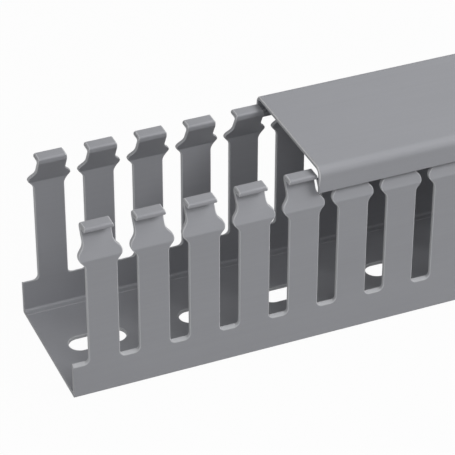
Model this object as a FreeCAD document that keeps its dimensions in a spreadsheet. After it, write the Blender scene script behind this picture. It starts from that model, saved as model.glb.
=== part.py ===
"""Slotted wire duct: a punched U-shaped trough of rigid PVC with its snap-on cover.

Frame, in millimetres: X runs along the duct, Y across it, Z up. The origin is the centre of the
middle fixing slot, on the underside of the base, half way along the trough and half way across it.
The end that shows in the photograph is the one at -X, and its near wall is the one at -Y.
"""
import FreeCAD, Part
import math
import os

import Sketcher

# Driving dimensions: name, value, what it is. Lengths in millimetres.
DIMENSIONS = (
    ("duct_length", 1000.0, "length of the trough and of the cover"),
    ("duct_width", 58.5, "over the outer faces of the two walls"),
    ("duct_height", 76.4, "from the underside of the base to the top of the cover"),
    ("trough_wall", 1.6, "wall and base thickness of the trough"),
    ("base_corner", 0.8, "outer radius where the base meets a wall"),
    ("base_cove", 1.0, "inner radius where the base meets a wall"),
    ("lean_drop", 13.0, "from the top of the lip down to the crease at which a wall turns inwards"),
    ("lean_in", 5.7, "how far a wall leans in, from its outer face to the root of the lip"),
    ("lip_edge", 1.7, "how far the lip's nose stands inside the outer face"),
    ("lip_wall", 2.0, "thickness of the lip"),
    ("lip_bevel", 0.7, "cut along the upper edge of the nose and the inner edge of the lip"),
    ("pitch", 20.0, "from one finger to the next"),
    ("first_finger", 6.4, "from the cut end to the first finger"),
    ("slot_width", 7.8, "clear width of a slot between two fingers"),
    ("slot_floor", 13.9, "height of the solid band below the slots"),
    ("slot_corner", 0.8, "cut across the bottom corners of a slot"),
    ("throat_width", 3.1, "gap between the wings of two fingers"),
    ("wing_start", 15.6, "from the top of the lip down to where the wings begin"),
    ("wing_low", 12.3, "from the top of the lip down to the lower corner of a wing's tip"),
    ("wing_high", 11.0, "from the top of the lip down to the upper corner of a wing's tip"),
    ("wing_end", 8.0, "from the top of the lip down to where the wings end"),
    ("neck_slot", 8.4, "clear width between the necks of two fingers"),
    ("lip_cut", 1.0, "cut across the upper corners of a finger"),
    ("fixing_pitch", 80.0, "from one long fixing slot to the next"),
    ("fixing_width", 9.0, "width of the fixing slots in the base"),
    ("fixing_long", 23.0, "length of a long fixing slot, end to end"),
    ("fixing_short", 12.4, "length of a short fixing slot, end to end"),
    ("cover_wall", 1.4, "wall thickness of the cover"),
    ("cover_round", 3.5, "outer radius of the cover's long edges"),
    ("cover_rise", 1.8, "clear height between the lips and the cover"),
    ("flange_depth", 10.6, "from the top of the cover to the end of its flanges"),
    ("flange_end", 0.5, "radius at the end of a flange"),
    ("hook_reach", 1.5, "how far a hook reaches in under the lip's nose"),
    ("hook_height", 3.0, "height of the hook's sloping face"),
    ("running_gap", 0.3, "clearance between the cover and the lips"),
    ("cover_back", 98.2, "how far the cover is slid back from the trough's end"),
)


class Size:
    """A length that carries both its value and its formula in terms of the sheet's cells."""

    def __init__(self, value, text=None):
        self.value = float(value)
        self.text = text if text is not None else repr(float(value))

    @staticmethod
    def of(other):
        return other if isinstance(other, Size) else Size(other)

    def __add__(self, other):
        other = Size.of(other)
        return Size(self.value + other.value, f"({self.text} + {other.text})")

    def __sub__(self, other):
        other = Size.of(other)
        return Size(self.value - other.value, f"({self.text} - {other.text})")

    def __mul__(self, other):
        other = Size.of(other)
        return Size(self.value * other.value, f"({self.text} * {other.text})")

    def __truediv__(self, other):
        other = Size.of(other)
        return Size(self.value / other.value, f"({self.text} / {other.text})")

    def __neg__(self):
        return Size(-self.value, f"(-1 * {self.text})")

    def root(self):
        return Size(math.sqrt(self.value), f"sqrt({self.text})")

    def whole(self):
        return Size(math.floor(self.value), f"floor({self.text})")


def write_sheet(doc):
    """Fill the sheet and return its sizes by name."""
    sheet = doc.addObject("Spreadsheet::Sheet", "Sizes")
    sizes = {}
    for row, (name, value, meaning) in enumerate(DIMENSIONS, start=1):
        sheet.set(f"A{row}", meaning)
        sheet.set(f"B{row}", str(value))
        sheet.setAlias(f"B{row}", name)
        sizes[name] = Size(value, f"Sizes.{name}")
    doc.recompute()
    return sizes


def plane_of(body, role):
    """One of the body's own origin planes."""
    for feature in body.Origin.OriginFeatures:
        if feature.Role == role:
            return feature
    raise ValueError(f"{body.Label} has no {role}")


def start_sketch(body, name, role):
    sketch = body.newObject("Sketcher::SketchObject", name)
    sketch.AttachmentSupport = (plane_of(body, role), [""])
    sketch.MapMode = "FlatFace"
    return sketch


def bind_point(sketch, element, point, place):
    """Hold one point of an element at a place that follows the sheet."""
    for kind, size in zip(("DistanceX", "DistanceY"), place):
        index = sketch.addConstraint(Sketcher.Constraint(kind, -1, 1, element, point, size.value))
        sketch.setExpression(f"Constraints[{index}]", size.text)


def unit(start, end):
    run = (end[0] - start[0], end[1] - start[1])
    length = math.hypot(*run)
    return run[0] / length, run[1] / length


def draw_outline(sketch, corners):
    """Draw a closed outline of straight runs.

    Each corner is (across, up) for a sharp one, or (across, up, radius) for a rounded one, whose
    sharp corner is then a construction point that both runs aim at.
    """
    places = [(corner[0].value, corner[1].value) for corner in corners]
    count = len(corners)
    starts, ends, arcs = [], [], {}
    for i, corner in enumerate(corners):
        here = places[i]
        before = unit(here, places[i - 1])
        after = unit(here, places[(i + 1) % count])
        if len(corner) == 2:
            ends.append(here)
            starts.append(here)
            continue
        radius = corner[2].value
        cosine = before[0] * after[0] + before[1] * after[1]
        half_angle = math.acos(max(-1.0, min(1.0, cosine))) / 2
        cut = radius / math.tan(half_angle)
        ends.append((here[0] + before[0] * cut, here[1] + before[1] * cut))
        starts.append((here[0] + after[0] * cut, here[1] + after[1] * cut))
        middle = unit((0, 0), (before[0] + after[0], before[1] + after[1]))
        reach = radius / math.sin(half_angle)
        centre = (here[0] + middle[0] * reach, here[1] + middle[1] * reach)
        nearest = (centre[0] - middle[0] * radius, centre[1] - middle[1] * radius)
        arcs[i] = nearest
    runs = []
    for i in range(count):
        following = (i + 1) % count
        line = Part.LineSegment(FreeCAD.Vector(*starts[i], 0), FreeCAD.Vector(*ends[following], 0))
        runs.append(sketch.addGeometry(line, False))
    for i, corner in enumerate(corners):
        arriving = runs[i - 1]
        leaving = runs[i]
        if i not in arcs:
            sketch.addConstraint(Sketcher.Constraint("Coincident", arriving, 2, leaving, 1))
            bind_point(sketch, leaving, 1, corner[:2])
            continue
        points = [FreeCAD.Vector(*place, 0) for place in (ends[i], arcs[i], starts[i])]
        bend = sketch.addGeometry(Part.Arc(*points), False)
        turns_left = (points[1] - points[0]).cross(points[2] - points[1]).z > 0
        first, last = (1, 2) if turns_left else (2, 1)
        sketch.addConstraint(Sketcher.Constraint("Tangent", arriving, 2, bend, first))
        sketch.addConstraint(Sketcher.Constraint("Tangent", bend, last, leaving, 1))
        index = sketch.addConstraint(Sketcher.Constraint("Radius", bend, corner[2].value))
        sketch.setExpression(f"Constraints[{index}]", corner[2].text)
        aim = sketch.addGeometry(Part.Point(FreeCAD.Vector(*places[i], 0)), True)
        bind_point(sketch, aim, 1, corner[:2])
        sketch.addConstraint(Sketcher.Constraint("PointOnObject", aim, 1, arriving))
        sketch.addConstraint(Sketcher.Constraint("PointOnObject", aim, 1, leaving))


def mirrored(corners, about=None):
    """The same corners on the other side of an upright line, in reverse order."""
    middle = about if about is not None else Size(0)
    return [(middle * 2 - corner[0], *corner[1:]) for corner in reversed(corners)]


def pad_along(body, name, sketch, length):
    pad = body.newObject("PartDesign::Pad", name)
    pad.Profile = sketch
    pad.SideType = "Symmetric"
    pad.Refine = False
    pad.setExpression("Length", length.text)
    return pad


def punch(body, name, sketch):
    """Cut the sketch right through the body, both ways from its plane."""
    pocket = body.newObject("PartDesign::Pocket", name)
    pocket.Profile = sketch
    pocket.Type = "ThroughAll"
    pocket.SideType = "Symmetric"
    pocket.Refine = False
    return pocket


def repeat(body, name, feature, axis, spacing, copies):
    pattern = body.newObject("PartDesign::LinearPattern", name)
    pattern.Originals = [feature]
    pattern.Direction = axis
    pattern.Mode = "Spacing"
    pattern.setExpression("Offset", spacing.text)
    pattern.setExpression("Occurrences", copies.text)
    pattern.Refine = False
    body.Tip = pattern
    return pattern


def wall_section(size):
    """Corners of one wall of the trough, from its foot outside, over the lip, to the cove inside."""
    outside = size["duct_width"] / 2
    wall = size["trough_wall"]
    neck = outside - size["lean_in"]
    lip_top = size["duct_height"] - size["cover_wall"] - size["cover_rise"]
    lip_under = lip_top - size["lip_wall"]
    lean_start = lip_top - size["lean_drop"]
    slope = size["lean_in"] / (lip_under - lean_start)
    drop = wall * ((slope * slope + 1).root() - 1) / slope
    nose = outside - size["lip_edge"]
    bevel = size["lip_bevel"]
    return [
        (outside, Size(0), size["base_corner"]),
        (outside, lean_start),
        (neck, lip_under),
        (nose, lip_under),
        (nose, lip_top - bevel),
        (nose - bevel, lip_top),
        (neck - wall + bevel, lip_top),
        (neck - wall, lip_top - bevel),
        (neck - wall, lip_under - drop),
        (outside - wall, lean_start - drop),
        (outside - wall, wall, size["base_cove"]),
    ]


def slot_outline(size, centre):
    """Corners of one punched slot: its foot, the throat between the wings and its open top."""
    half = size["slot_width"] / 2
    throat = size["throat_width"] / 2
    neck = size["neck_slot"] / 2
    lip_top = size["duct_height"] - size["cover_wall"] - size["cover_rise"]
    above = size["duct_height"] + size["pitch"]
    right = [
        (centre + half - size["slot_corner"], size["slot_floor"]),
        (centre + half, size["slot_floor"] + size["slot_corner"]),
        (centre + half, lip_top - size["wing_start"]),
        (centre + throat, lip_top - size["wing_low"]),
        (centre + throat, lip_top - size["wing_high"]),
        (centre + neck, lip_top - size["wing_end"]),
        (centre + neck, lip_top - size["lip_cut"]),
        (centre + neck + size["lip_cut"], lip_top),
        (centre + neck + size["lip_cut"], above),
    ]
    return right + mirrored(right, centre)


def draw_long_hole(sketch, centre, length, width):
    """Draw a slot with half-round ends along the sketch's first axis."""
    radius = width / 2
    reach = length / 2 - radius
    left, right = centre - reach, centre + reach
    low, high = -radius.value, radius.value
    upright = FreeCAD.Vector(0, 0, 1)
    quarter = math.pi / 2
    lower = Part.LineSegment(FreeCAD.Vector(left.value, low, 0), FreeCAD.Vector(right.value, low, 0))
    upper = Part.LineSegment(FreeCAD.Vector(right.value, high, 0), FreeCAD.Vector(left.value, high, 0))
    right_circle = Part.Circle(FreeCAD.Vector(right.value, 0, 0), upright, radius.value)
    left_circle = Part.Circle(FreeCAD.Vector(left.value, 0, 0), upright, radius.value)
    round_of_edges = [
        sketch.addGeometry(lower, False),
        sketch.addGeometry(Part.ArcOfCircle(right_circle, -quarter, quarter), False),
        sketch.addGeometry(upper, False),
        sketch.addGeometry(Part.ArcOfCircle(left_circle, quarter, 3 * quarter), False),
    ]
    for i, edge in enumerate(round_of_edges):
        following = round_of_edges[(i + 1) % 4]
        sketch.addConstraint(Sketcher.Constraint("Tangent", edge, 2, following, 1))
    for arc, middle in ((round_of_edges[1], right), (round_of_edges[3], left)):
        index = sketch.addConstraint(Sketcher.Constraint("Radius", arc, radius.value))
        sketch.setExpression(f"Constraints[{index}]", radius.text)
        bind_point(sketch, arc, 3, (middle, Size(0)))


def make_trough(doc, size):
    """The extruded and punched trough."""
    body = doc.addObject("PartDesign::Body", "slotted_trough")
    body.Label = "slotted_trough"
    half_length = size["duct_length"] / 2

    section = start_sketch(body, "TroughSection", "YZ_Plane")
    wall = wall_section(size)
    draw_outline(section, wall + mirrored(wall))
    pad_along(body, "ExtrudedTrough", section, size["duct_length"])

    pairs = ((half_length - size["fixing_long"] / 2) / size["fixing_pitch"]).whole()
    for name, length, first, copies in (
        ("LongFixing", size["fixing_long"], -(pairs * size["fixing_pitch"]), pairs * 2 + 1),
        ("ShortFixing", size["fixing_short"], size["fixing_pitch"] * 0.5 - pairs * size["fixing_pitch"],
         pairs * 2),
    ):
        hole = start_sketch(body, name + "Slot", "XY_Plane")
        draw_long_hole(hole, first, length, size["fixing_width"])
        cut = punch(body, name + "Cut", hole)
        repeat(body, name + "Row", cut, (hole, ["H_Axis"]), size["fixing_pitch"], copies)

    first_slot = size["first_finger"] - half_length - size["slot_width"] / 2
    above = size["duct_height"] + size["pitch"]
    beyond = -half_length - size["pitch"]
    trim = start_sketch(body, "CutEnd", "XZ_Plane")
    draw_outline(trim, [
        (beyond, size["slot_floor"]),
        (first_slot, size["slot_floor"]),
        (first_slot, above),
        (beyond, above),
    ])
    punch(body, "TrimmedEnd", trim)
    slot = start_sketch(body, "FingerSlot", "XZ_Plane")
    draw_outline(slot, slot_outline(size, first_slot))
    punched = punch(body, "PunchedSlot", slot)
    slots = (size["duct_length"] / size["pitch"]).whole() + 1
    repeat(body, "SlotRow", punched, (slot, ["H_Axis"]), size["pitch"], slots)
    return body


def make_cover(doc, size):
    """The extruded cover, slid back along the lips as in the photograph."""
    body = doc.addObject("PartDesign::Body", "snap_cover")
    body.Label = "snap_cover"
    outside = size["duct_width"] / 2
    top = size["duct_height"]
    wall = size["cover_wall"]
    end = top - size["flange_depth"]
    lip_top = top - wall - size["cover_rise"]
    hook_top = lip_top - size["lip_wall"] - size["running_gap"]
    inside = outside - wall
    hook = outside - size["lip_edge"] - size["hook_reach"]
    flange = [
        (outside, top, size["cover_round"]),
        (outside, end, size["flange_end"]),
        (inside, end, size["flange_end"]),
        (inside, hook_top - size["hook_height"]),
        (hook, hook_top - size["running_gap"]),
        (hook, hook_top),
        (inside, hook_top),
        (inside, top - wall, size["cover_round"] - wall),
    ]
    section = start_sketch(body, "CoverSection", "YZ_Plane")
    draw_outline(section, flange + mirrored(flange))
    pad_along(body, "ExtrudedCover", section, size["duct_length"])
    body.setExpression("Placement.Base.x", size["cover_back"].text)
    return body


def check(doc, bodies):
    """Stop if any object failed or any piece isn't one sound solid."""
    for item in doc.Objects:
        if "Invalid" in item.State or "Error" in item.State:
            raise RuntimeError(f"{item.Name} failed: {item.State}")
    for body in bodies:
        shape = body.Shape
        if shape.isNull() or not shape.isValid():
            raise RuntimeError(f"{body.Label} has no valid shape")
        if len(shape.Solids) != 1:
            raise RuntimeError(f"{body.Label} has {len(shape.Solids)} solids")


def main():
    doc = FreeCAD.newDocument("SlottedWireDuct")
    size = write_sheet(doc)
    bodies = [make_trough(doc, size), make_cover(doc, size)]
    doc.recompute()
    check(doc, bodies)
    os.makedirs("parts", exist_ok=True)
    for body in bodies:
        shape = body.Shape
        shape.exportStep(os.path.join("parts", body.Label + ".step"))
        box = shape.BoundBox
        print(f"{body.Label}: volume {shape.Volume:.0f} mm3, faces {len(shape.Faces)},",
              f"X {box.XMin:.2f} to {box.XMax:.2f}, Y {box.YMin:.2f} to {box.YMax:.2f},",
              f"Z {box.ZMin:.2f} to {box.ZMax:.2f}")


main()
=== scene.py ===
"""Slotted wire duct: a punched trough of extruded rigid PVC and its slide-on cover.

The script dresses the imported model. It models the trough and the cover anew with the roundings,
the punched rims and the sawn edges that the solids leave out, gives them their plastic, and sets
the studio. X runs along the duct, Y across it and Z up, in metres.
"""
import math

import bmesh
import bpy
from mathutils import Matrix, Vector


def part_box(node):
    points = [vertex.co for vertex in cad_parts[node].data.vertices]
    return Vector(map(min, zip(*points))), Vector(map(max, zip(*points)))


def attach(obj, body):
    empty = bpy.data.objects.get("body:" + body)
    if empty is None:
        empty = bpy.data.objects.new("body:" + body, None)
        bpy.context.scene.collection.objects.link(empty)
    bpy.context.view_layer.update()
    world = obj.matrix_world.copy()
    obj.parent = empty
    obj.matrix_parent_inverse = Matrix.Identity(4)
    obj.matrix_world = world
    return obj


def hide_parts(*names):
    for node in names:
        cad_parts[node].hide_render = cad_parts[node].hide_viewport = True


bl_info = {
    "name": "Slotted Wire Duct",
    "version": (1, 0, 0),
    "blender": (4, 5, 0),
    "location": "View3D > Sidebar > Wire Duct",
    "description": "Models the punched trough and the cover of a slotted wire duct",
    "category": "Object",
}

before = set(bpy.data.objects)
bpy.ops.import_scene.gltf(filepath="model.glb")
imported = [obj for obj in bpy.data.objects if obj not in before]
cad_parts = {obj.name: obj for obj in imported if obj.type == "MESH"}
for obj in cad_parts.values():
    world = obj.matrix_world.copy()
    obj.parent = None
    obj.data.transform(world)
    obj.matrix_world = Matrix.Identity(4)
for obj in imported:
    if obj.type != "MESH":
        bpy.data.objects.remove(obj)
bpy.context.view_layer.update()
TROUGH_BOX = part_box("slotted_trough")
COVER_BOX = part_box("snap_cover")

MM = 0.001
TAU = 2 * math.pi

# Vertices nearer to each other than SAME_PLACE count as one, and those within ON_TOP stand on top
# of each other. The other two are the shortest edges of a punched piece and of an outline.
ON_TOP = MM / 1000
SAME_PLACE = MM / 100
PUNCHED_EDGE = MM / 50
OUTLINE_EDGE = MM / 15

# Faces that turn by less than FLAT are one flat face, those that turn by less than ROUNDED are
# shaded as one rounding, and an edge of more than SHARP gets a rim.
FLAT = math.radians(0.5)
ROUNDED = math.radians(40)
SHARP = math.radians(50)

# Where the 3D cursor stands while edges and faces are sorted by their distance from it.
SORTING_PLACE = (-1.237, 0.731, 0.419)

# A piece's material slots, after the first, which is its skin. The rims take a pale cut PVC, whose
# paleness is partly a painted highlight along the edges.
RIM, SAWN = 1, 2


# Sizes and colours.


def linear(hex_colour):
    """The linear red, green and blue of an sRGB colour written as hex."""
    values = [int(hex_colour[i:i + 2], 16) / 255 for i in (1, 3, 5)]
    return [v / 12.92 if v <= 0.04045 else ((v + 0.055) / 1.055) ** 2.4 for v in values]


def length(name, description, default_mm):
    """A length property, given in millimetres and kept in metres."""
    return bpy.props.FloatProperty(
        name=name, description=description, default=default_mm * MM, min=0.0, precision=5,
        subtype="DISTANCE", unit="LENGTH")


def colour(name, description, hex_colour):
    """A colour property with its default written as sRGB hex."""
    return bpy.props.FloatVectorProperty(
        name=name, description=description, default=linear(hex_colour), min=0.0, max=1.0,
        size=3, subtype="COLOR")


class DuctTroughSizes(bpy.types.PropertyGroup):
    """Sizes of the trough's section and of its punching."""

    wall: length("Wall", "Thickness of the walls and of the base", 1.6)
    corner: length("Base corner", "Outer radius where the base meets a wall", 0.8)
    cove: length("Base cove", "Inner radius where the base meets a wall", 1.0)
    lean_drop: length("Lean drop", "From the lip's top down to the crease of the wall", 13.0)
    lean_in: length("Lean in", "How far a wall leans in up to the root of the lip", 5.7)
    crease_round: length("Crease radius", "Radius of the crease of the wall", 1.6)
    lip_edge: length("Lip edge", "How far the lip's nose stands inside the outer face", 1.7)
    lip_wall: length("Lip thickness", "Thickness of the lip", 2.0)
    lip_round: length("Lip radius", "Radius of the lip's upper edges", 1.1)
    lip_foot: length("Lip foot radius", "Radius of the nose's lower edge and the lip's root", 0.45)
    score_height: length("Score height", "Height of the score line on the inner faces", 13.1)
    score_width: length("Score width", "Width of the score line", 0.6)
    score_depth: length("Score depth", "Depth of the score line", 0.05)
    bead_inset: length("Bead inset", "From the inner face of a wall to the bead on the base", 2.8)
    bead_width: length("Bead width", "Width of the bead on the base", 0.8)
    bead_height: length("Bead height", "Height of the bead on the base", 0.2)
    pitch: length("Pitch", "From one finger to the next", 20.0)
    first_finger: length("First finger", "From the cut end to the first finger", 6.4)
    slot_width: length("Slot width", "Clear width of a slot between two fingers", 7.8)
    slot_floor: length("Slot floor", "Height of the solid band below the slots", 13.9)
    slot_round: length("Slot radius", "Radius of a slot's bottom corners, outside", 2.3)
    sill_round: length("Sill radius", "Radius of a slot's bottom corners at the inner face", 1.0)
    sill_rise: length("Sill rise", "How far a slot's bottom slopes up towards the inner face", 0.95)
    throat_width: length("Throat", "Gap between the wings of two fingers", 3.1)
    wing_start: length("Wing start", "From the lip's top down to the root of the wings", 15.6)
    wing_low: length("Wing low", "From the lip's top to the lower corner of a wing tip", 12.6)
    wing_high: length("Wing high", "From the lip's top to the upper corner of a wing tip", 10.8)
    wing_end: length("Wing end", "From the lip's top down to the end of the wings", 8.0)
    wing_round: length("Wing radius", "Radius of the hollows above and below a wing", 3.0)
    neck_slot: length("Neck slot", "Clear width between the necks of two fingers", 8.4)
    lip_corner: length("Lip corner radius", "Radius of the upper corners of a finger", 1.2)
    fixing_pitch: length("Fixing pitch", "From one long fixing slot to the next", 80.0)
    fixing_width: length("Fixing width", "Width of the fixing slots in the base", 9.0)
    fixing_long: length("Long fixing slot", "Length of a long fixing slot", 23.0)
    fixing_short: length("Short fixing slot", "Length of a short fixing slot", 12.4)
    rim: length("Punched rim", "Width of the rolled rim round the punched slots", 0.38)
    sawn_rim: length("Sawn rim", "Width of the broken edge round the sawn ends", 0.1)


class DuctCoverSizes(bpy.types.PropertyGroup):
    """Sizes of the cover's section."""

    wall: length("Wall", "Thickness of the cover", 1.4)
    round: length("Long edge radius", "Outer radius of the cover's long edges", 3.5)
    flange_end: length("Flange end radius", "Radius at the end of a flange", 0.5)
    hook_reach: length("Hook reach", "How far a hook reaches in under the lip's nose", 1.5)
    hook_height: length("Hook height", "Height of the hook's sloping face", 3.0)
    gap: length("Running gap", "Clearance between the cover and the lips", 0.3)
    sawn_rim: length("Sawn rim", "Width of the whitened edge round the sawn ends", 0.4)


class DuctColours(bpy.types.PropertyGroup):
    """Colours of the plastic and of the studio."""

    trough: colour("Trough PVC", "Extruded rigid PVC of the trough", "#9d9ea3")
    cover: colour("Cover PVC", "Extruded rigid PVC of the cover", "#a1a2a7")
    # Paler than the trough: partly the sheared PVC's own paleness, partly painted light, as a
    # highlight on the rims and light on the cut faces.
    cut: colour("Cut PVC", "Sheared PVC on the punched faces", "#c0c1c4")
    # Paler than the skin: partly the cut's own paleness, partly painted light that brightens the
    # sawn ends.
    sawn: colour("Sawn PVC", "Sawn PVC on the ends", "#aeafb2")
    # Almost white: stress-whitening along the cover's sawn edges, made paler still as a painted
    # highlight line.
    whitening_and_highlight: colour("Whitened PVC", "Stressed PVC along the cover's sawn edges", "#e6e6e8")
    floor: colour("Studio floor", "Matt pale paper under the duct", "#bcbcbc")


# Ways of modelling.


def finished(result, what):
    """Stop when one of Blender's operators didn't do its work."""
    if "FINISHED" not in result:
        raise RuntimeError(f"{what} did not finish: {result}")


def leave_edit():
    """Go back to object mode."""
    if bpy.context.mode != "OBJECT":
        bpy.ops.object.mode_set(mode="OBJECT")


def pick_none():
    """Leave nothing selected."""
    leave_edit()
    bpy.ops.object.select_all(action="DESELECT")


def pick(piece):
    """Make this piece the only selected one and the active one."""
    pick_none()
    piece.select_set(True)
    bpy.context.view_layer.objects.active = piece


def edit_all(piece):
    """Open this piece in edit mode with all of it selected."""
    pick(piece)
    bpy.ops.object.mode_set(mode="EDIT")
    bpy.ops.mesh.select_all(action="SELECT")


def select_parts(piece, kind, wanted):
    """In edit mode, select the vertices, edges or faces that the test wants, and count them."""
    bpy.ops.mesh.select_mode(type=kind)
    bpy.ops.mesh.select_all(action="DESELECT")
    mesh = bmesh.from_edit_mesh(piece.data)
    parts = {"VERT": mesh.verts, "EDGE": mesh.edges, "FACE": mesh.faces}[kind]
    count = 0
    for part in parts:
        if wanted(part):
            part.select_set(True)
            count += 1
    mesh.select_flush_mode()
    bmesh.update_edit_mesh(piece.data)
    return count


def settle_order():
    """In edit mode, put all edges and faces in an order that is the same in every run.

    Extruding and bevelling leave them in an order that changes from run to run, and what is
    punched next would then differ by some hundredths of a millimetre. They are sorted by their
    distance from the 3D cursor, which stands where no two of them are equally far from it.
    """
    bpy.context.scene.cursor.location = SORTING_PLACE
    bpy.ops.mesh.select_all(action="SELECT")
    finished(bpy.ops.mesh.sort_elements(type="CURSOR_DISTANCE", elements={"EDGE", "FACE"}),
             "sorting the edges and faces")


def corner_cut(corners, i):
    """How far from a corner its rounding starts, along both of its runs."""
    here = Vector(corners[i][:2])
    before = (here - Vector(corners[i - 1][:2])).normalized()
    after = (Vector(corners[(i + 1) % len(corners)][:2]) - here).normalized()
    turn = math.acos(max(-1.0, min(1.0, before.dot(after))))
    return corners[i][2] * math.tan(turn / 2)


def trace(name, corners, place):
    """Trace a closed outline as one flat face, and leave it in edit mode.

    A corner is (across, up), or (across, up, radius, steps) for a rounded one. place turns
    (across, up) into a point in space. Corners with the same rounding are rounded together.
    """
    pick_none()
    points = [Vector(place(corner[0], corner[1])) for corner in corners]
    bpy.ops.mesh.primitive_plane_add(size=MM, location=(0, 0, 0))
    piece = bpy.context.active_object
    piece.name = name
    bpy.ops.object.mode_set(mode="EDIT")
    bpy.ops.mesh.select_mode(type="VERT")
    bpy.ops.mesh.select_all(action="SELECT")
    bpy.ops.mesh.merge(type="CENTER")
    bpy.ops.transform.translate(value=points[0])
    for start, end in zip(points, points[1:] + points[:1]):
        bpy.ops.mesh.extrude_vertices_move(TRANSFORM_OT_translate={"value": end - start})
    bpy.ops.mesh.select_all(action="SELECT")
    bpy.ops.mesh.remove_doubles(threshold=ON_TOP)
    finished(bpy.ops.mesh.edge_face_add(), f"closing the outline of {name}")
    cuts = {}
    for i, corner in enumerate(corners):
        if len(corner) > 2:
            cuts.setdefault((round(corner_cut(corners, i), 7), corner[3]), []).append(points[i])
    for (cut, steps), rounded in cuts.items():
        select_parts(piece, "VERT", lambda v: any((v.co - p).length < SAME_PLACE for p in rounded))
        bpy.ops.mesh.bevel(offset=cut, offset_type="OFFSET", segments=steps, affect="VERTICES",
                           clamp_overlap=False)
    bpy.ops.mesh.select_mode(type="VERT")
    bpy.ops.mesh.select_all(action="SELECT")
    bpy.ops.mesh.remove_doubles(threshold=OUTLINE_EDGE)
    return piece


def push_out(step):
    """Extrude the face that is being edited into a solid and turn its faces outwards."""
    bpy.ops.mesh.select_mode(type="FACE")
    bpy.ops.mesh.select_all(action="SELECT")
    bpy.ops.mesh.extrude_region_move(TRANSFORM_OT_translate={"value": step})
    settle_order()
    bpy.ops.mesh.normals_make_consistent(inside=False)
    leave_edit()


def apply_modifier(piece, kind, settings):
    """Add a modifier with these settings and apply it."""
    pick(piece)
    bpy.ops.object.modifier_add(type=kind)
    modifier = piece.modifiers[-1]
    for key, value in settings.items():
        setattr(modifier, key, value)
    finished(bpy.ops.object.modifier_apply(modifier=modifier.name), f"{kind} on {piece.name}")


def repeat_along(piece, count, step, settings=None):
    """Repeat the piece along the duct, each copy one step further on."""
    apply_modifier(piece, "ARRAY", {
        "count": count, "use_relative_offset": False, "use_constant_offset": True,
        "constant_offset_displace": (step, 0, 0), **(settings or {})})


def punch(piece, cutter):
    """Cut the cutter out of the piece; the new faces take the cutter's material."""
    apply_modifier(piece, "BOOLEAN", {
        "operation": "DIFFERENCE", "object": cutter, "solver": "EXACT",
        "material_mode": "TRANSFER"})
    bpy.data.objects.remove(cutter)


def cut_to_length(piece, low, high):
    """Saw both ends off square and close them."""
    edit_all(piece)
    for x, side in ((low, -1), (high, 1)):
        bpy.ops.mesh.select_all(action="SELECT")
        sawn = bpy.ops.mesh.bisect(
            plane_co=(x, 0, 0), plane_no=(side, 0, 0), use_fill=True, clear_outer=True,
            threshold=ON_TOP)
        finished(sawn, f"sawing {piece.name}")
    leave_edit()


def break_edges(piece, width, steps):
    """Round every edge that is still sharp, with the rim's material, whose pale colour is partly a
    painted highlight.
    """
    apply_modifier(piece, "BEVEL", {
        "width": width, "segments": steps, "limit_method": "ANGLE", "angle_limit": SHARP,
        "use_clamp_overlap": False, "material": RIM})


def merge_close(piece, distance):
    """Merge the vertices that are nearer to each other than this distance."""
    edit_all(piece)
    bpy.ops.mesh.remove_doubles(threshold=distance)
    leave_edit()


def clean_flats(piece):
    """Join what the punches left in pieces: tiny edges and faces that lie in one plane."""
    merge_close(piece, PUNCHED_EDGE)
    edit_all(piece)
    bpy.ops.mesh.dissolve_limited(angle_limit=FLAT, delimit={"MATERIAL"})
    leave_edit()


def lies_at(part, x):
    """Whether all of an edge or a face lies in the plane across the duct at x."""
    return all(abs(v.co.x - x) < SAME_PLACE for v in part.verts)


def break_sawn_ends(piece, width, low, high, wanted=lambda place: True, rim=SAWN):
    """Give the two sawn faces their material and bevel the wanted edges round them."""
    edit_all(piece)
    for x in (low, high):
        select_parts(piece, "FACE", lambda f: lies_at(f, x))
        piece.active_material_index = SAWN
        bpy.ops.object.material_slot_assign()
        select_parts(piece, "EDGE", lambda e: lies_at(e, x) and all(wanted(v.co) for v in e.verts))
        bpy.ops.mesh.bevel(offset=width, offset_type="OFFSET", segments=1, affect="EDGES",
                           clamp_overlap=False, material=rim)
    settle_order()
    leave_edit()


def smooth(piece):
    """Shade the roundings smooth and keep the flat faces flat."""
    pick(piece)
    bpy.ops.object.shade_smooth_by_angle(angle=ROUNDED)
    # A weight above 50 lets the large, flat faces lead the shading.
    apply_modifier(piece, "WEIGHTED_NORMAL", {"weight": 60, "keep_sharp": True})


# Materials.

PVC_IOR = 1.53


def add_node(tree, kind, settings=None, links=None):
    """Add a node, set its sockets and options, and link earlier nodes' sockets into it."""
    node = tree.nodes.new(kind)
    for key, value in (settings or {}).items():
        if isinstance(key, int) or key in node.inputs:
            node.inputs[key].default_value = value
        else:
            setattr(node, key, value)
    for key, socket in (links or {}).items():
        tree.links.new(socket, node.inputs[key])
    return node


def start_material(name):
    """A new material and its empty node tree."""
    material = bpy.data.materials.new(name)
    material.use_nodes = True
    material.node_tree.nodes.clear()
    return material, material.node_tree


def shade(rgb, factor):
    """The colour, lighter or darker by a factor."""
    return [min(1.0, channel * factor) for channel in rgb] + [1.0]


def dress(piece, skin, rim, sawn):
    """Give a piece the materials of its skin, its rims and its sawn ends, in that order."""
    for material in (skin, rim, sawn):
        piece.data.materials.append(material)


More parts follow.
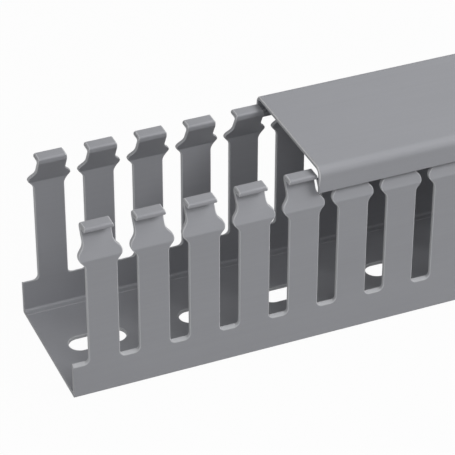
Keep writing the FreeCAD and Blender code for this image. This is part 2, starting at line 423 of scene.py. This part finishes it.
def extruded_pvc(name, rgb, shift, smoothest, roughest):
    """Extruded rigid PVC: an even grey, satin or matt, with fine die lines along the duct.

    The die leaves lines that run along X, the melt a faint cloudy mottling a few centimetres
    long, and the skin is finely matt. The real lines and the real grain are some tenths of a
    millimetre wide at most, which the render can't show, so both are drawn coarser. The shift
    moves the patterns, so that no two pieces have the same.
    """
    line_length, line_width, line_depth = 250 * MM, 0.9 * MM, 0.06 * MM
    cloud_length, cloud_width = 70 * MM, 25 * MM
    grain_width, grain_depth = 0.6 * MM, 0.05 * MM
    material, tree = start_material(name)
    place = add_node(tree, "ShaderNodeTexCoord")
    stretched = add_node(tree, "ShaderNodeMapping", {
        "Location": (shift, 0.0, 0.0),
        "Scale": (1 / line_length, 1 / line_width, 1 / line_width)},
        {"Vector": place.outputs["Object"]})
    lines = add_node(tree, "ShaderNodeTexNoise", {
        "Scale": 1.0, "Detail": 3.0, "Roughness": 0.6}, {"Vector": stretched.outputs["Vector"]})
    cloudy = add_node(tree, "ShaderNodeMapping", {
        "Location": (0.0, shift, 0.0),
        "Scale": (1 / cloud_length, 1 / cloud_width, 1 / cloud_width)},
        {"Vector": place.outputs["Object"]})
    clouds = add_node(tree, "ShaderNodeTexNoise", {
        "Scale": 1.0, "Detail": 2.0, "Roughness": 0.5}, {"Vector": cloudy.outputs["Vector"]})
    grain = add_node(tree, "ShaderNodeTexNoise", {
        "Scale": 1 / grain_width, "Detail": 2.0, "Roughness": 0.6},
        {"Vector": place.outputs["Object"]})
    mottled = add_node(tree, "ShaderNodeMixRGB", {
        "Color1": shade(rgb, 0.95), "Color2": shade(rgb, 1.05)}, {"Fac": clouds.outputs["Fac"]})
    lined = add_node(tree, "ShaderNodeMapRange", {
        "From Min": 0.3, "From Max": 0.7, "To Min": 0.985, "To Max": 1.012},
        {"Value": lines.outputs["Fac"]})
    tinted = add_node(tree, "ShaderNodeVectorMath", {"operation": "SCALE"}, {
        0: mottled.outputs["Color"], "Scale": lined.outputs["Result"]})
    satin = add_node(tree, "ShaderNodeMapRange", {
        "From Min": 0.3, "From Max": 0.7, "To Min": smoothest, "To Max": roughest},
        {"Value": grain.outputs["Fac"]})
    fine = add_node(tree, "ShaderNodeBump", {
        "Strength": 0.10, "Distance": grain_depth}, {"Height": grain.outputs["Fac"]})
    drawn = add_node(tree, "ShaderNodeBump", {
        "Strength": 0.12, "Distance": line_depth},
        {"Height": lines.outputs["Fac"], "Normal": fine.outputs["Normal"]})
    plastic = add_node(tree, "ShaderNodeBsdfPrincipled", {"IOR": PVC_IOR}, {
        "Base Color": tinted.outputs["Vector"], "Roughness": satin.outputs["Result"],
        "Normal": drawn.outputs["Normal"]})
    add_node(tree, "ShaderNodeOutputMaterial", {}, {"Surface": plastic.outputs["BSDF"]})
    return material


def cut_pvc(name, rgb):
    """Cut rigid PVC: paler than the skin and dull, with a torn grain.

    It is on the punched faces, the sawn ends and the edges that the saw turns white. Its paleness
    is partly the cut's own and partly painted light: a painted highlight along the rims and edges,
    and painted light that brightens the sawn ends and cut faces. The grain of a real cut is finer
    than the render can show, so it is drawn coarser.
    """
    if name in bpy.data.materials:
        return bpy.data.materials[name]
    tear_width, tear_depth = 0.5 * MM, 0.08 * MM
    material, tree = start_material(name)
    place = add_node(tree, "ShaderNodeTexCoord")
    torn = add_node(tree, "ShaderNodeTexNoise", {
        "Scale": 1 / tear_width, "Detail": 3.0, "Roughness": 0.6},
        {"Vector": place.outputs["Object"]})
    tone = add_node(tree, "ShaderNodeMixRGB", {
        "Color1": shade(rgb, 0.92), "Color2": shade(rgb, 1.08)}, {"Fac": torn.outputs["Fac"]})
    rough = add_node(tree, "ShaderNodeBump", {
        "Strength": 0.25, "Distance": tear_depth}, {"Height": torn.outputs["Fac"]})
    plastic = add_node(tree, "ShaderNodeBsdfPrincipled", {"IOR": PVC_IOR, "Roughness": 0.66}, {
        "Base Color": tone.outputs["Color"], "Normal": rough.outputs["Normal"]})
    add_node(tree, "ShaderNodeOutputMaterial", {}, {"Surface": plastic.outputs["BSDF"]})
    return material


# Outlines.

# How far the punches stand out past the walls, the lips and either side of the base.
PAST_WALL, PAST_LIP, PAST_BASE = 6 * MM, 10 * MM, 4 * MM


def mirrored(corners, about=0.0):
    """The same corners on the other side, in reverse order."""
    return [(2 * about - corner[0], *corner[1:]) for corner in reversed(corners)]


def wall_corners(size):
    """One wall of the trough, from its foot outside, over the lip, to the bead on the base."""
    outside = TROUGH_BOX[1].y
    top = TROUGH_BOX[1].z
    neck = outside - size.lean_in
    under = top - size.lip_wall
    crease = top - size.lean_drop
    slope = size.lean_in / (under - crease)
    drop = size.wall * (math.sqrt(slope * slope + 1) - 1) / slope
    nose = outside - size.lip_edge
    inside = outside - size.wall
    score, half_score = size.score_height, size.score_width / 2
    bead, half_bead = inside - size.bead_inset, size.bead_width / 2
    return [
        (outside, 0.0, size.corner, 3),
        (outside, crease, size.crease_round, 2),
        (neck, under, size.lip_foot, 4),
        (nose, under, size.lip_foot, 3),
        (nose, top, size.lip_round, 4),
        (neck - size.wall, top, size.lip_round, 4),
        (neck - size.wall, under - drop, size.crease_round, 2),
        (inside, crease - drop, size.crease_round, 2),
        (inside, score + half_score),
        (inside + size.score_depth, score),
        (inside, score - half_score),
        (inside, size.wall, size.cove, 3),
        (bead + half_bead, size.wall),
        (bead + half_bead / 2, size.wall + size.bead_height),
        (bead - half_bead / 2, size.wall + size.bead_height),
        (bead - half_bead, size.wall),
    ]


def slot_corners(size, centre):
    """One punched slot: its foot, the throat between the wings and its open top.

    A wing's tip is rounded from flank to flank. The rounding of a finger's upper corners ends a
    little above the lip, so that the punch leaves nothing standing on it.
    """
    top = TROUGH_BOX[1].z
    half, throat, neck = size.slot_width / 2, size.throat_width / 2, size.neck_slot / 2
    lower_turn = math.atan2(half - throat, size.wing_start - size.wing_low)
    upper_turn = math.atan2(neck - throat, size.wing_high - size.wing_end)
    tip = (size.wing_low - size.wing_high) / (math.tan(lower_turn / 2) + math.tan(upper_turn / 2))
    above = 0.1 * MM
    corner_end = centre + neck + size.lip_corner + 5 * above
    right = [
        (centre + half, size.slot_floor + size.rim, size.slot_round, 5),
        (centre + half, top - size.wing_start, size.wing_round, 3),
        (centre + throat, top - size.wing_low, tip, 4),
        (centre + throat, top - size.wing_high, tip, 4),
        (centre + neck, top - size.wing_end, size.wing_round, 3),
        (centre + neck, top + above, size.lip_corner + above, 4),
        (corner_end, top + above),
        (corner_end, top + PAST_LIP),
    ]
    return right + mirrored(right, centre)


def flange_corners(size, trough):
    """One half of the cover: the rounded long edge, the flange and its hook under the lip."""
    outside = COVER_BOX[1].y
    top, end = COVER_BOX[1].z, COVER_BOX[0].z
    inside = outside - size.wall
    hook_top = TROUGH_BOX[1].z - trough.lip_wall - size.gap
    hook = outside - trough.lip_edge - size.hook_reach
    return [
        (outside, top, size.round, 8),
        (outside, end, size.flange_end, 3),
        (inside, end, size.flange_end, 3),
        (inside, hook_top - size.hook_height, size.flange_end, 2),
        (hook, hook_top - size.gap),
        (hook, hook_top),
        (inside, hook_top),
        (inside, top - size.wall, size.round - size.wall, 6),
    ]


def across_at(x):
    """Points of a section that stands square across the duct at this place along it."""
    return lambda across, up: (x, across, up)


# The pieces.


class DUCT_OT_make_trough(bpy.types.Operator):
    """Model the trough: extruded section, punched finger slots and fixing slots"""

    bl_idname = "duct.make_trough"
    bl_label = "Make Slotted Trough"

    def execute(self, context):
        size = context.scene.duct_trough
        colours = context.scene.duct_colours
        skin = extruded_pvc("Extruded rigid PVC trough", colours.trough,
                            shift=0.0, smoothest=0.40, roughest=0.50)
        # The punched faces and the rims get the pale cut PVC: partly sheared PVC's own paleness,
        # partly painted light, as a highlight on the rims and light on the cut faces.
        sheared_and_painted_light = cut_pvc("Punched rigid PVC", colours.cut)
        low, high = TROUGH_BOX[0].x, TROUGH_BOX[1].x
        # The length that is punched and then repeated starts in the middle of a finger, ahead
        # of the long fixing slot at X = 0, and ends in one behind the short fixing slot.
        first_slot = low + size.first_finger - size.slot_width / 2
        middle_slot = first_slot + round(-first_slot / size.pitch) * size.pitch
        start = middle_slot - 1.5 * size.pitch

        wall = wall_corners(size)
        piece = trace("slotted_trough_pvc", wall + mirrored(wall), across_at(start))
        push_out((size.fixing_pitch, 0, 0))
        # The sawn ends are painted paler than the skin: partly the cut's own paleness, partly
        # painted light on the ends.
        dress(piece, skin, sheared_and_painted_light, cut_pvc("Sawn rigid PVC", colours.sawn))

        self.punch_slots(piece, size, start + size.pitch / 2, sheared_and_painted_light)
        self.punch_fixings(piece, size, sheared_and_painted_light)
        clean_flats(piece)
        self.open_ends(piece, start, start + size.fixing_pitch)
        break_edges(piece, size.rim, steps=3)
        merge_close(piece, SAME_PLACE)
        self.run_along(piece, size, start, low, high)
        self.drop_tips(piece, size.slot_floor + size.slot_round, first_slot)
        break_sawn_ends(piece, size.sawn_rim, low, high)
        smooth(piece)
        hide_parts("slotted_trough")
        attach(piece, "trough")
        return {"FINISHED"}

    def punch_slots(self, piece, size, first, sheared_and_painted_light):
        """Punch the four slots of one length through both walls.

        The foot of a slot slopes up from the outer face of the wall to the inner one, and its
        corners get tighter on the way.
        """
        outside = TROUGH_BOX[1].y
        inside, beyond = outside - size.wall, outside + PAST_WALL
        bend = size.slot_floor + size.rim + size.slot_round
        cutter = trace("slot_punch", slot_corners(size, first),
                       lambda across, up: (across, -beyond, up))
        bpy.ops.mesh.select_mode(type="FACE")
        bpy.ops.mesh.select_all(action="SELECT")
        stations = (-beyond, -outside, -inside, inside, outside, beyond)
        for start, end in zip(stations, stations[1:]):
            bpy.ops.mesh.extrude_region_move(TRANSFORM_OT_translate={"value": (0, end - start, 0)})
        for side in (-1, 1):
            select_parts(cutter, "VERT", lambda v: abs(v.co.y) < outside - SAME_PLACE
                         and v.co.z < bend and (v.co.x - first) * side > 0)
            bpy.ops.transform.resize(
                value=(size.sill_round / size.slot_round, 1, 1 - size.sill_rise / size.slot_round),
                center_override=(first + side * size.slot_width / 2, 0, bend))
        settle_order()
        bpy.ops.mesh.quads_convert_to_tris()
        bpy.ops.mesh.normals_make_consistent(inside=False)
        leave_edit()
        repeat_along(cutter, round(size.fixing_pitch / size.pitch), size.pitch)
        cutter.data.materials.append(sheared_and_painted_light)
        punch(piece, cutter)

    def punch_fixings(self, piece, size, sheared_and_painted_light):
        """Punch one long and one short fixing slot through the base, both with round ends."""
        steps = 36
        for centre, whole in ((0.0, size.fixing_long), (size.fixing_pitch / 2, size.fixing_short)):
            pick_none()
            bpy.ops.mesh.primitive_circle_add(
                vertices=steps, radius=size.fixing_width / 2, fill_type="NGON",
                location=(centre, 0, PAST_BASE), rotation=(0, 0, TAU / steps / 2))
            cutter = bpy.context.active_object
            bpy.ops.object.transform_apply(location=True, rotation=True, scale=True)
            edit_all(cutter)
            for side in (-1, 1):
                select_parts(cutter, "VERT", lambda v: (v.co.x - centre) * side > 0)
                bpy.ops.transform.translate(value=(side * (whole - size.fixing_width) / 2, 0, 0))
            push_out((0, 0, -2 * PAST_BASE))
            cutter.data.materials.append(sheared_and_painted_light)
            punch(piece, cutter)

    def open_ends(self, piece, low, high):
        """Take off the two end faces, so that the lengths join without a wall between them."""
        edit_all(piece)
        found = select_parts(piece, "FACE", lambda f: lies_at(f, low) or lies_at(f, high))
        if found < 2:
            raise RuntimeError(f"expected the end faces of the length, found {found}")
        bpy.ops.mesh.delete(type="FACE")
        leave_edit()

    def run_along(self, piece, size, start, low, high):
        """Repeat the length along the duct and saw the run to the trough's own length."""
        before = math.ceil((start - low) / size.fixing_pitch)
        after = math.ceil((high - start) / size.fixing_pitch)
        repeat_along(piece, before + after, size.fixing_pitch, {
            "use_merge_vertices": True, "merge_threshold": SAME_PLACE})
        edit_all(piece)
        bpy.ops.transform.translate(value=(-before * size.fixing_pitch, 0, 0))
        leave_edit()
        cut_to_length(piece, low, high)

    def drop_tips(self, piece, above, before):
        """Take away the wing tips that the saw left over from the finger it cut off."""
        edit_all(piece)
        select_parts(piece, "VERT", lambda v: v.co.z > above and v.co.x < before)
        bpy.ops.mesh.delete(type="VERT")
        leave_edit()


class DUCT_OT_make_cover(bpy.types.Operator):
    """Model the cover: extruded section with rounded long edges and hooks"""

    bl_idname = "duct.make_cover"
    bl_label = "Make Cover"

    def execute(self, context):
        size = context.scene.duct_cover
        colours = context.scene.duct_colours
        low, high = COVER_BOX[0].x, COVER_BOX[1].x
        flange = flange_corners(size, context.scene.duct_trough)
        piece = trace("cover_pvc_shell", flange + mirrored(flange), across_at(low))
        push_out((high - low, 0, 0))
        skin = extruded_pvc("Extruded rigid PVC cover", colours.cover,
                            shift=7.0, smoothest=0.68, roughest=0.78)
        # The broken outer edge of the sawn ends is painted almost white: stress-whitening together
        # with a painted highlight.
        whitening_and_highlight = cut_pvc("Stress-whitened rigid PVC", colours.whitening_and_highlight)
        # The sawn ends get the same paler PVC, which is partly painted light on the ends.
        dress(piece, skin, whitening_and_highlight, cut_pvc("Sawn rigid PVC", colours.sawn))
        self.break_outer_edge(piece, size, low, high)
        smooth(piece)
        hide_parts("snap_cover")
        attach(piece, "cover")
        return {"FINISHED"}

    def break_outer_edge(self, piece, size, low, high):
        """Break the outer edge of both sawn ends, where the saw turns it white and a near-white
        colour paints its highlight.
        """
        outside, top = COVER_BOX[1].y, COVER_BOX[1].z
        bend = Vector((outside - size.round, top - size.round))
        mid_wall = size.round - size.wall / 2
        flange_low = COVER_BOX[0].z + 2 * size.flange_end

        def outer(place):
            """Whether a place is on the outside of the section, above the flange's end."""
            across, up = abs(place.y) - bend.x, place.z - bend.y
            if up < 0:
                return across > mid_wall and place.z > flange_low
            return up > mid_wall or Vector((max(across, 0.0), up)).length > mid_wall

        break_sawn_ends(piece, size.sawn_rim, low, high, outer, RIM)


# The studio.

# Each softbox: its name, its place, its side in metres and its power in watts. All face the
# fingers at the trough's open end. The floor's side is in metres too.
SOFTBOXES = (
    ("key_softbox_right", (0.78, 0.0, 1.3), 0.8, 10.1),
    ("softbox_front_right", (0.68, -0.9, 1.2), 0.8, 13.7),
    ("fill_softbox_front", (-1.02, -1.3, 1.4), 1.2, 9.0),
    ("fill_softbox_left", (-2.62, -0.3, 0.5), 1.0, 8.0),
)
OPEN_END = (-0.42, 0.0, 0.03)
FLOOR_SIDE = 16
WHITE = (1.0, 1.0, 1.0, 1.0)

# The photograph's own viewpoint, found by fitting the duct's measured edges. The camera looks
# along Y, turned towards X by the yaw and down by the pitch, in degrees.
CAMERA_PLACE = (-0.715275, -0.681269, 0.545935)
CAMERA_YAW, CAMERA_PITCH, CAMERA_ROLL = 22.9987, 34.4189, 0.13897
CAMERA_LENS, CAMERA_SENSOR = 186.286, 36.0
CAMERA_NEAREST, CAMERA_FARTHEST = 0.05, 50.0


class DUCT_OT_make_stage(bpy.types.Operator):
    """Set the floor, the lamps and the camera"""

    bl_idname = "duct.make_stage"
    bl_label = "Make Studio"

    def execute(self, context):
        self.make_floor(context.scene.duct_colours.floor)
        self.make_world(context.scene)
        for softbox in SOFTBOXES:
            self.add_softbox(*softbox)
        self.make_camera(context.scene)
        return {"FINISHED"}

    def seen_rays(self, tree):
        """One for a ray of the camera, of a reflection or through glass, else nothing."""
        path = add_node(tree, "ShaderNodeLightPath")
        either = add_node(tree, "ShaderNodeMath", {"operation": "MAXIMUM"}, {
            0: path.outputs["Is Camera Ray"], 1: path.outputs["Is Glossy Ray"]})
        seen = add_node(tree, "ShaderNodeMath", {"operation": "MAXIMUM"}, {
            0: either.outputs["Value"], 1: path.outputs["Is Transmission Ray"]})
        return seen.outputs["Value"]

    def make_floor(self, rgb):
        """Matt pale paper that the camera sees nearly white, with a faint shadow of the duct.

        To the duct it is plain paper, which throws a little light back.
        """
        white_share = 0.97
        pick_none()
        bpy.ops.mesh.primitive_plane_add(size=FLOOR_SIDE, location=(0, 0, 0))
        floor = bpy.context.active_object
        floor.name = "studio_floor"
        material, tree = start_material("Matt pale paper")
        seen = self.seen_rays(tree)
        share = add_node(tree, "ShaderNodeMath", {"operation": "MULTIPLY", 1: white_share},
                         {0: seen})
        paper = add_node(tree, "ShaderNodeBsdfDiffuse", {"Color": [*rgb, 1.0]})
        white = add_node(tree, "ShaderNodeEmission", {"Strength": 1.0})
        both = add_node(tree, "ShaderNodeMixShader", {}, {
            0: share.outputs["Value"], 1: paper.outputs["BSDF"], 2: white.outputs["Emission"]})
        add_node(tree, "ShaderNodeOutputMaterial", {}, {"Surface": both.outputs["Shader"]})
        floor.data.materials.append(material)

    def make_world(self, scene):
        """Soft grey light all round; seen directly or mirrored it is plain white."""
        world = bpy.data.worlds.new("studio_world")
        scene.world = world
        world.use_nodes = True
        tree = world.node_tree
        tree.nodes.clear()
        seen = self.seen_rays(tree)
        soft = add_node(tree, "ShaderNodeBackground", {"Color": WHITE, "Strength": 0.1})
        white = add_node(tree, "ShaderNodeBackground", {"Color": WHITE, "Strength": 1.0})
        both = add_node(tree, "ShaderNodeMixShader", {}, {
            0: seen, 1: soft.outputs["Background"], 2: white.outputs["Background"]})
        add_node(tree, "ShaderNodeOutputWorld", {}, {"Surface": both.outputs["Shader"]})

    def add_softbox(self, name, place, side, power):
        """A square lamp that faces the trough's open end."""
        pick_none()
        bpy.ops.object.light_add(type="AREA", location=place)
        lamp = bpy.context.active_object
        lamp.name = name
        lamp.data.shape = "SQUARE"
        lamp.data.size = side
        lamp.data.energy = power
        aim = Vector(OPEN_END) - Vector(place)
        lamp.rotation_euler = aim.to_track_quat("-Z", "Y").to_euler()

    def make_camera(self, scene):
        """A camera at the photograph's own viewpoint."""
        yaw, pitch, roll = map(math.radians, (CAMERA_YAW, CAMERA_PITCH, CAMERA_ROLL))
        forward = math.cos(pitch)
        look = Vector((math.sin(yaw) * forward, math.cos(yaw) * forward, -math.sin(pitch)))
        level = Vector((math.cos(yaw), -math.sin(yaw), 0.0))
        rise = level.cross(look)
        right = level * math.cos(roll) + rise * math.sin(roll)
        up = rise * math.cos(roll) - level * math.sin(roll)
        pick_none()
        bpy.ops.object.camera_add()
        camera = bpy.context.active_object
        camera.name = "photo_camera"
        turned = Matrix((right, up, -look)).transposed().to_4x4()
        camera.matrix_world = Matrix.Translation(CAMERA_PLACE) @ turned
        camera.data.lens = CAMERA_LENS
        camera.data.sensor_width = CAMERA_SENSOR
        camera.data.clip_start = CAMERA_NEAREST
        camera.data.clip_end = CAMERA_FARTHEST
        scene.camera = camera


# The add-on.


class DUCT_PT_sidebar(bpy.types.Panel):
    """Sizes, colours and steps of the slotted wire duct"""

    bl_idname = "DUCT_PT_sidebar"
    bl_label = "Slotted Wire Duct"
    bl_space_type = "VIEW_3D"
    bl_region_type = "UI"
    bl_category = "Wire Duct"

    def draw(self, context):
        for name in GROUPS:
            group = getattr(context.scene, name)
            box = self.layout.box()
            for setting in group.__annotations__:
                box.prop(group, setting)
        for step in STEPS:
            self.layout.operator(step.bl_idname)


STEPS = (DUCT_OT_make_trough, DUCT_OT_make_cover, DUCT_OT_make_stage)
GROUPS = {
    "duct_trough": DuctTroughSizes,
    "duct_cover": DuctCoverSizes,
    "duct_colours": DuctColours,
}


def register():
    """Make the sizes, the steps and the panel known to Blender."""
    for group in GROUPS.values():
        bpy.utils.register_class(group)
    for step in STEPS:
        bpy.utils.register_class(step)
    bpy.utils.register_class(DUCT_PT_sidebar)
    for name, group in GROUPS.items():
        setattr(bpy.types.Scene, name, bpy.props.PointerProperty(type=group))


def unregister():
    """Undo what register did."""
    for name in GROUPS:
        delattr(bpy.types.Scene, name)
    bpy.utils.unregister_class(DUCT_PT_sidebar)
    for group in (*reversed(STEPS), *reversed(GROUPS.values())):
        bpy.utils.unregister_class(group)


def main():
    register()
    bpy.context.scene.view_settings.view_transform = "Standard"
    bpy.ops.duct.make_trough()
    bpy.ops.duct.make_cover()
    bpy.ops.duct.make_stage()


if __name__ == "__main__":
    main()
